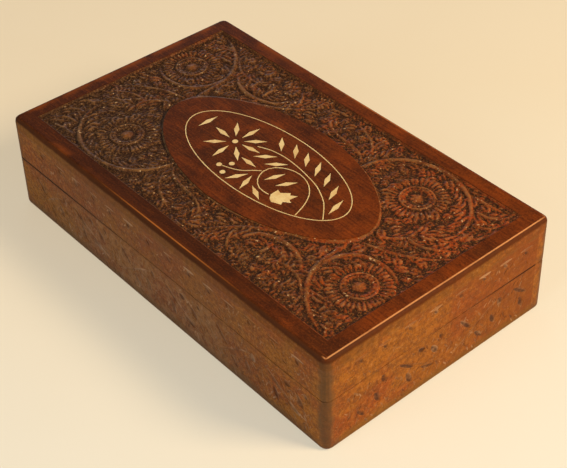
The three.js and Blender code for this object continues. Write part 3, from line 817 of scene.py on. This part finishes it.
flower_tree, socket = geometry_tree("flowers", {
    "Geometry": "Geometry", "Section": "Object", "Stem Section": "Object", "Petals": 18,
    "Petal Root": 9.2 * mm, "Petal Length": 7.6 * mm, "Petal Width": 4.9 * mm, "Petal Height": 1.7 * mm,
    "Inner Petals": 20, "Inner Root": 5.0 * mm, "Inner Length": 3.2 * mm, "Inner Width": 2.1 * mm,
    "Inner Height": 1.75 * mm, "Ring Radius": 8.7 * mm, "Ring Width": 1.3 * mm, "Ring Height": 1.6 * mm,
    "Eye Radius": 4.8 * mm, "Eye Height": 1.7 * mm, "Seed": 3})
flower_parts = []
for label, count in (("Petal", "Petals"), ("Inner", "Inner Petals")):
    root = made("CurvePrimitiveCircle", {"Resolution": socket[count], "Radius": socket[label + " Root"]})
    petal = nested_blade(petal_tree, socket["Section"], sizes(socket, label), steps=6)
    outwards = along_x(place_in(flower_tree), 0.0)
    size = random(flower_tree, 0.9, 1.08, plus(socket["Seed"], len(label)))
    flower_parts.append(made("InstanceOnPoints", {
        "Points": root, "Instance": petal, "Rotation": outwards, "Scale": size}))
ring_line = made("CurvePrimitiveCircle", {"Resolution": 60, "Radius": socket["Ring Radius"]})
ring_half = times(socket["Ring Width"], 0.5)
ring_shown = shown(socket["Stem Section"])
flower_parts.append(swept(ring_line, ring_shown, ring_half, socket["Ring Height"], rim_rise,
                          [(0, 1), (1, 1)]))
dome = add(flower_tree, "GeometryNodeMeshUVSphere", {"Segments": 56, "Rings": 36, "Radius": 1.0}).outputs[0]
dome_scale = vector_of(socket["Eye Radius"], socket["Eye Radius"], socket["Eye Height"])
eye = moved(dome, Scale=dome_scale)
seeds = add(flower_tree, "ShaderNodeTexVoronoi", {
    "Vector": place_in(flower_tree), "Scale": 800.0}).outputs["Distance"]
sink = vector_of(z=times(seeds, -1.2 * mm))
flower_parts.append(made("SetPosition", {"Geometry": eye, "Offset": sink}))
flowers = made("InstanceOnPoints", {"Points": socket["Geometry"], "Instance": together(flower_parts)})
finish_forms([flowers])


def places_object(name, places):
    """Single points on the ground plane, in millimetres."""
    mesh = bpy.data.meshes.new(name)
    mesh.from_pydata([(x * mm, y * mm, 0) for x, y in places], [], [])
    return linked(name, mesh)


rosette_places = [(70.4, 37.1), (98.0, -27.9)]
shape_forms("rosettes", places_object("rosette_places", rosette_places), flower_tree, **sections)
floret_places = [(22.5, -56.5), (41.7, -53.2), (65, -56), (105.8, -51.5), (25.8, 54.8), (83.3, -59.5)]
shape_forms("florets", places_object("floret_places", floret_places), flower_tree, petals=5,
            petal_root=1.2 * mm, petal_length=4.2 * mm, petal_width=3.8 * mm, petal_height=1.75 * mm,
            inner_petals=3, inner_root=0.2 * mm, inner_length=0.8 * mm, inner_width=0.5 * mm,
            inner_height=1.2 * mm, ring_radius=1.2 * mm, ring_width=0.5 * mm, ring_height=1.3 * mm,
            eye_radius=1.0 * mm, eye_height=1.8 * mm, **sections)

# Small leaves between the scrolls
# Short spoon cuts that fill the rest of the field, a little lower and following the scrolls' run.


def share_of_oval(parts, socket):
    """How far out a point lies, with the oval's edge at 1."""
    shares = []
    for axis, half in (("X", "Oval Half Length"), ("Y", "Oval Half Width")):
        share = unsigned(calc("DIVIDE", parts[axis], socket[half]))
        shares.append(calc("POWER", share, oval_exponent))
    return plus(*shares)


rosette_reach = 14.5 * mm
field_measures = {"Half Length": half_length, "Half Width": half_width, "Oval Half Length": oval_length / 2,
                  "Oval Half Width": oval_width / 2}
filler_tree, socket = geometry_tree("small_leaves", {
    "Geometry": "Geometry", "Section": "Object", **field_measures, "Gap": 4.6 * mm, "Leaf Length": 6.4 * mm,
    "Leaf Width": 5.0 * mm, "Leaf Height": 1.4 * mm, "Lean": math.radians(60), "Clear": 3.8 * mm, "Seed": 4})
sheet = made("MeshGrid", {
    "Size X": socket["Half Length"], "Size Y": times(socket["Half Width"], 2.0), "Vertices X": 2,
    "Vertices Y": 2})
right_half = moved(sheet, Translation=vector_of(x=times(socket["Half Length"], 0.5)))
strewn = scattered(right_half, socket)
at = place_in(filler_tree)
parts = axes(at)
hidden = calc("LESS_THAN", share_of_oval(parts, socket), 0.97)
for x, y in rosette_places:
    reach = vector_calc("DISTANCE", {0: at, 1: (x * mm, y * mm, 0)})["Value"]
    hidden = larger(hidden, calc("LESS_THAN", reach, rosette_reach))
lines = resampled(socket["Geometry"], 1 * mm)
edges = made("CurveToMesh", {"Curve": lines})
reach = add(filler_tree, "GeometryNodeProximity", {
    "Geometry": edges}, target_element="EDGES").outputs["Distance"]
hidden = larger(hidden, calc("LESS_THAN", reach, socket["Clear"]))
kept = made("DeleteGeometry", {"Geometry": strewn, "Selection": hidden})
nearest = add(filler_tree, "GeometryNodeSampleNearest", {"Geometry": lines}).outputs["Index"]
run = made("SampleIndex", {
    "Geometry": lines, "Value": add(filler_tree, "GeometryNodeInputTangent").outputs[0], "Index": nearest,
}, data_type="FLOAT_VECTOR")
lean = times(random(filler_tree, -1.0, 1.0, 21), socket["Lean"])
small_leaf = nested_blade(leaf_tree, socket["Section"], sizes(socket, "Leaf"), 0.8 * mm)
leaves = made("InstanceOnPoints", {
    "Points": kept, "Instance": small_leaf, "Rotation": along_x(run, lean),
    "Scale": random(filler_tree, 0.65, 1.15, 33)})
finish_forms([leaves])
shape_forms("small_leaves", spline_object("flow_lines", main_routes + sprig_routes), filler_tree,
            section=leaf_section)
for section in sections.values():
    bpy.data.objects.remove(section)

# Carved field of the lid
# The forms and the floor between them are one surface of the board, cut with gouges and softened by
# years of waxing. It slopes up to the border and to the oval. The wood is red and olive brown, with
# painted shade in the hollows and at the left front, painted highlights and dust on the rims, painted
# glints and specks of dust; painted light makes it redder towards the right.
carved_wood, shader, place = new_material("carved_wood", 0.5, 0.1)
parts = axes(place)
height = calc("DIVIDE", minus(parts["Z"], ground), field_depth)
proud = add(shader.id_data, "ShaderNodeAttribute", attribute_name="proud").outputs["Fac"]
# Painted light and shade: redder and lighter towards the right, darker at the front, broken by random
# patches.
warmth = plus(remap(parts["X"], -40 * mm, 110 * mm, 0, 0.9),
              times(minus(noise(place, 110, 4, 0.6), 0.5), 3.0))
warmth = plus(warmth, remap(parts["Y"], -60 * mm, -15 * mm, -0.4, 0.05))
relief = stained(colour(88, 46, 15), (146, 56, 11), warmth, 0, 1)
# Painted shade darkens the left front of the field, and greys its light specks.
shaded = times(remap(parts["X"], 10 * mm, -60 * mm), remap(parts["Y"], 45 * mm, -30 * mm, 0.35, 1))
relief = blend(times(shaded, 0.5), relief, colour(54, 32, 17))
cloud = remap(noise(place, 70, 3, 0.6), 0.45, 0.6, 0, 0.55)
relief = blend(cloud, relief, colour(62, 35, 14))
# Painted shade in the hollows and low parts of the relief.
hollow_shade = blend(noise(place, 420, 3), colour(36, 20, 9), colour(62, 33, 12))
relief = blend(remap(proud, 0.05 * mm, -0.22 * mm, 0, 0.95), relief, hollow_shade)
relief = blend(remap(height, 0.45, 0.2, 0, 0.6), relief, hollow_shade)
mottle = noise(place, 900, 4, 0.75)
relief = stained(relief, (44, 25, 13), mottle, 0.49, 0.6, 0, 0.55)
light_mottle = blend(shaded, colour(186, 98, 36), colour(146, 104, 64))
relief = blend(remap(mottle, 0.46, 0.36, 0, 0.55), relief, light_mottle)
# Dust specks everywhere, and pale rims on the raised parts and the stems: dust with a painted highlight.
dust = remap(noise(place, 1000, 4, 0.75), 0.55, 0.65, 0, 0.5)
rims = larger(remap(proud, 0.2 * mm, 0.5 * mm, 0, 0.4), remap(height, 0.8, 0.9, 0, 0.32))
rim_dust_and_highlight = times(rims, remap(noise(place, 200, 3), 0.4, 0.58, 0.1, 1))
relief = blend(larger(dust, rim_dust_and_highlight), relief, colour(166, 113, 60))
eye_reach = (3.8 * mm, 2 * mm)
for x, y in rosette_places + [(-x, -y) for x, y in rosette_places]:
    off_eye = vector_calc("DISTANCE", {0: place, 1: (x * mm, y * mm, ground + field_depth)})["Value"]
    relief = stained(relief, (166, 98, 44), off_eye, *eye_reach, 0, 0.35)
# Small pale specks on the raised parts: painted glints.
glints = times(remap(noise(place, 560, 2), 0.65, 0.7, 0, 0.8), remap(proud, 0, 0.15 * mm))
relief = blend(glints, relief, colour(216, 168, 112))
shader.id_data.links.new(remap(proud, -0.2 * mm, 0.2 * mm, 0.7, 0.42), shader.inputs["Roughness"])
fine = noise(place, 900, 4, 0.7)
paint(shader, relief, fine, 0.3, 0.5 * mm)


def softened(value, steps):
    """A value evened out over the surface, further with each step."""
    return made("BlurAttribute", {0: value, "Iterations": steps})


field_tree, socket = geometry_tree("carved_field", {
    "Geometry": "Geometry", "Scrolls": "Object", "Sprigs": "Object", "Rosettes": "Object",
    "Florets": "Object", "Small Leaves": "Object", "Material": "Material", **field_measures,
    "Depth": field_depth, "Floor Height": 0.35 * mm, "Slope Width": 1.7 * mm, "Vertices X": 290,
    "Vertices Y": 320, "Side": 1.0, "Soften": 2})
lap = 0.3 * mm
size_x = plus(socket["Half Length"], lap)
sheet = made("MeshGrid", {
    "Size X": size_x, "Size Y": times(plus(socket["Half Width"], lap), 2.0),
    "Vertices X": socket["Vertices X"], "Vertices Y": socket["Vertices Y"]})
sheet = moved(sheet, Translation=vector_of(x=times(times(size_x, 0.5), socket["Side"])))
at = place_in(field_tree)
parts = axes(at)
under_oval = calc("LESS_THAN", share_of_oval(parts, socket), 0.95)
sheet = made("DeleteGeometry", {"Geometry": sheet, "Selection": under_oval}, domain="FACE")
forms = together([shown(socket[label]) for label in (
    "Scrolls", "Sprigs", "Rosettes", "Florets", "Small Leaves")])
above = vector_calc("ADD", {0: at, 1: (0, 0, 2 * field_depth)})[0]
found = add(field_tree, "GeometryNodeRaycast", {
    "Target Geometry": forms, "Source Position": above, "Ray Direction": (0, 0, -1),
    "Ray Length": 2 * field_depth}).outputs["Hit Position"]
form_height = axes(found)["Z"]
to_border = smaller(minus(socket["Half Length"], unsigned(parts["X"])),
                    minus(socket["Half Width"], unsigned(parts["Y"])))
oval_edge = made("CurveToMesh", {"Curve": socket["Geometry"]})
to_oval = add(field_tree, "GeometryNodeProximity", {
    "Geometry": oval_edge}, target_element="EDGES").outputs["Distance"]
to_wall = smaller(to_border, to_oval)
uneven = noise(at, 140, 2)
slope_width = times(socket["Slope Width"], plus(uneven, 0.5))
slope = times(remap(to_wall, 0.1 * mm, slope_width, 0.9, 0), socket["Depth"])
floor_height = times(socket["Floor Height"], times(noise(at, 300, 2), 2.0))
height = calc("SMOOTH_MAX", larger(form_height, slope), floor_height, 0.3 * mm)
nicks = times(minus(noise(at, 520, 3, 0.6), 0.5), 0.75 * mm)
nicked = times(nicks, remap(to_wall, 0.3 * mm, 1.5 * mm))
carved = plus(softened(height, socket["Soften"]), nicked)
carved = smaller(larger(carved, 0.0), field_depth - 0.02 * mm)
beside_it, nearby, around = (softened(height, steps) for steps in (7, 24, 160))
proud = plus(minus(carved, nearby), times(minus(nearby, around), 0.8))
proud = plus(proud, times(minus(carved, beside_it), 1.4))
proud = times(proud, remap(to_border, 0.4 * mm, 1.6 * mm))
marked = made("StoreNamedAttribute", {
    "Geometry": sheet, "Name": "proud", "Value": proud}, data_type="FLOAT", domain="POINT")
surface = made("SetPosition", {"Geometry": marked, "Offset": vector_of(z=carved)})
finish_tree(surface, socket["Material"])


def close_below(piece, low):
    """Walls down from a sheet's edge, and a bottom between them."""
    work = bmesh.new()
    work.from_mesh(piece.data)
    rim = [edge for edge in work.edges if edge.is_boundary]
    walls = bmesh.ops.extrude_edge_only(work, edges=rim)
    for item in walls["geom"]:
        if isinstance(item, bmesh.types.BMVert):
            item.co.z = low
    bmesh.ops.holes_fill(work, edges=[edge for edge in work.edges if edge.is_boundary], sides=0)
    bmesh.ops.recalc_face_normals(work, faces=work.faces)
    work.to_mesh(piece.data)
    work.free()


for label, side in (("right", 1.0), ("left", -1.0)):
    oval_line = spline_object("oval_line", [[(x / mm, y / mm) for x, y in oval_outline]], closed=True)
    grow(oval_line, field_tree, material=carved_wood, side=side, **carved_forms)
    field = baked(oval_line, "carved_field_" + label)
    field.data.transform(Matrix.Translation((0, 0, ground)))
    close_below(field, ground - lap)
    finish_board(field, carved_wood, degrees=70)
    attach(field, "lid")
for form in carved_forms.values():
    bpy.data.objects.remove(form)

# Bone inlay
# Thin pieces of bone let into the oval: a flower and its stems, leaves and berries inside one ring.
# Their faces are yellowed and lightly scratched, and lie level with the wood.
bone, shader, place = new_material("old_bone", 0.42, 0.35)
stain = noise(place, 160, 4, 0.6)
shade = stained(colour(240, 204, 136), (224, 178, 108), stain, 0.38, 0.66)
lines = noise(drawn_out(place, (0.15, 1, 1)), 2600, 2.0)
shade = stained(shade, (176, 128, 76), lines, 0.55, 0.75, 0, 0.4)
paint(shader, shade, lines, 0.2, 0.2 * mm)
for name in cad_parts:
    if "board" not in name and "hinge" not in name:
        dress(name, bone)

# Photograph's view
# A camera at eye height over a table, near the box's right front corner, and a cream paper floor. A
# warm lamp stands at the right behind the box, and the rest is cool daylight.
IMAGE_WIDTH, IMAGE_HEIGHT = 567, 468
focal_pixels = 1403
principal_point = (280.6, 191.4)
camera_place = Vector((441.1, -358.7, 490.6)) * mm
camera_target = Vector((22.0, -9.9, 58.0)) * mm
camera_roll = math.radians(1.76)

camera_data = bpy.data.cameras.new("camera")
camera_data.sensor_width = 36
camera_data.lens = focal_pixels / IMAGE_WIDTH * camera_data.sensor_width
camera_data.shift_x = (IMAGE_WIDTH / 2 - principal_point[0]) / IMAGE_WIDTH
camera_data.shift_y = (principal_point[1] - IMAGE_HEIGHT / 2) / IMAGE_WIDTH
camera_data.clip_start = 0.01
camera = linked("camera", camera_data)
look = (camera_target - camera_place).to_track_quat("-Z", "Y").to_matrix().to_4x4()
camera.matrix_world = Matrix.Translation(camera_place) @ look @ Matrix.Rotation(-camera_roll, 4, "Z")
bpy.context.scene.camera = camera

floor_half, floor_gap = 2.0, 0.1 * mm
floor_mesh = bpy.data.meshes.new("paper_floor")
floor_corners = [(x * floor_half, y * floor_half, -floor_gap) for x, y in corners]
floor_mesh.from_pydata(floor_corners, [], [(0, 1, 2, 3)])
paper, shader, place = new_material("paper", 0.9, 0.2)
tree = shader.id_data
tree.links.new(blend(noise(place, 12, 4), colour(250, 232, 204), colour(246, 226, 196)),
               shader.inputs["Base Color"])
# What the camera sees of the paper is half lit by itself, so that it stays pale behind the box.
parts = axes(place)
look_x, look_y = 0.78, 0.63
away = remap(minus(times(parts["Y"], look_y), times(parts["X"], look_x)), -0.4, 0.15)
pale = blend(away, (0.98, 0.96, 0.82, 1), (0.9, 0.68, 0.4, 1))
glow = add(tree, "ShaderNodeEmission", {"Color": pale}).outputs[0]
ray = add(tree, "ShaderNodeLightPath").outputs
seen = larger(ray["Is Camera Ray"], larger(ray["Is Glossy Ray"], ray["Is Transmission Ray"]))
lit = add(tree, "ShaderNodeMixShader", {0: times(seen, 0.55), 1: shader.outputs[0], 2: glow}).outputs[0]
tree.links.new(lit, tree.nodes["Material Output"].inputs["Surface"])
floor_mesh.materials.append(paper)
paper_floor = linked("paper_floor", floor_mesh)

lit_middle = Vector((0, 0, 30 * mm))


def soft_lamp(name, place, size, power, tint):
    """A square lamp that shines at the middle of the box."""
    data = bpy.data.lights.new(name, "AREA")
    data.size = size
    data.energy = power
    data.color = tint
    lamp = linked(name, data)
    lamp.location = place
    lamp.rotation_euler = (lit_middle - Vector(place)).to_track_quat("-Z", "Y").to_euler()


soft_lamp("warm_key", (0.85, 0.45, 0.85), size=0.4, power=17, tint=(1, 0.84, 0.58))
soft_lamp("front_light", (0.1, -1.3, 0.75), size=0.8, power=8.5, tint=(0.62, 0.8, 1))
soft_lamp("window_light", (-1.1, 0.75, 0.35), size=0.4, power=1.5, tint=(0.62, 0.78, 1))

world = bpy.data.worlds.new("daylight")
world.use_nodes = True
world.node_tree.nodes["Background"].inputs["Color"].default_value = (0.66, 0.8, 1, 1)
world.node_tree.nodes["Background"].inputs["Strength"].default_value = 0.28
bpy.context.scene.world = world

bpy.context.scene.view_settings.view_transform = "Standard"
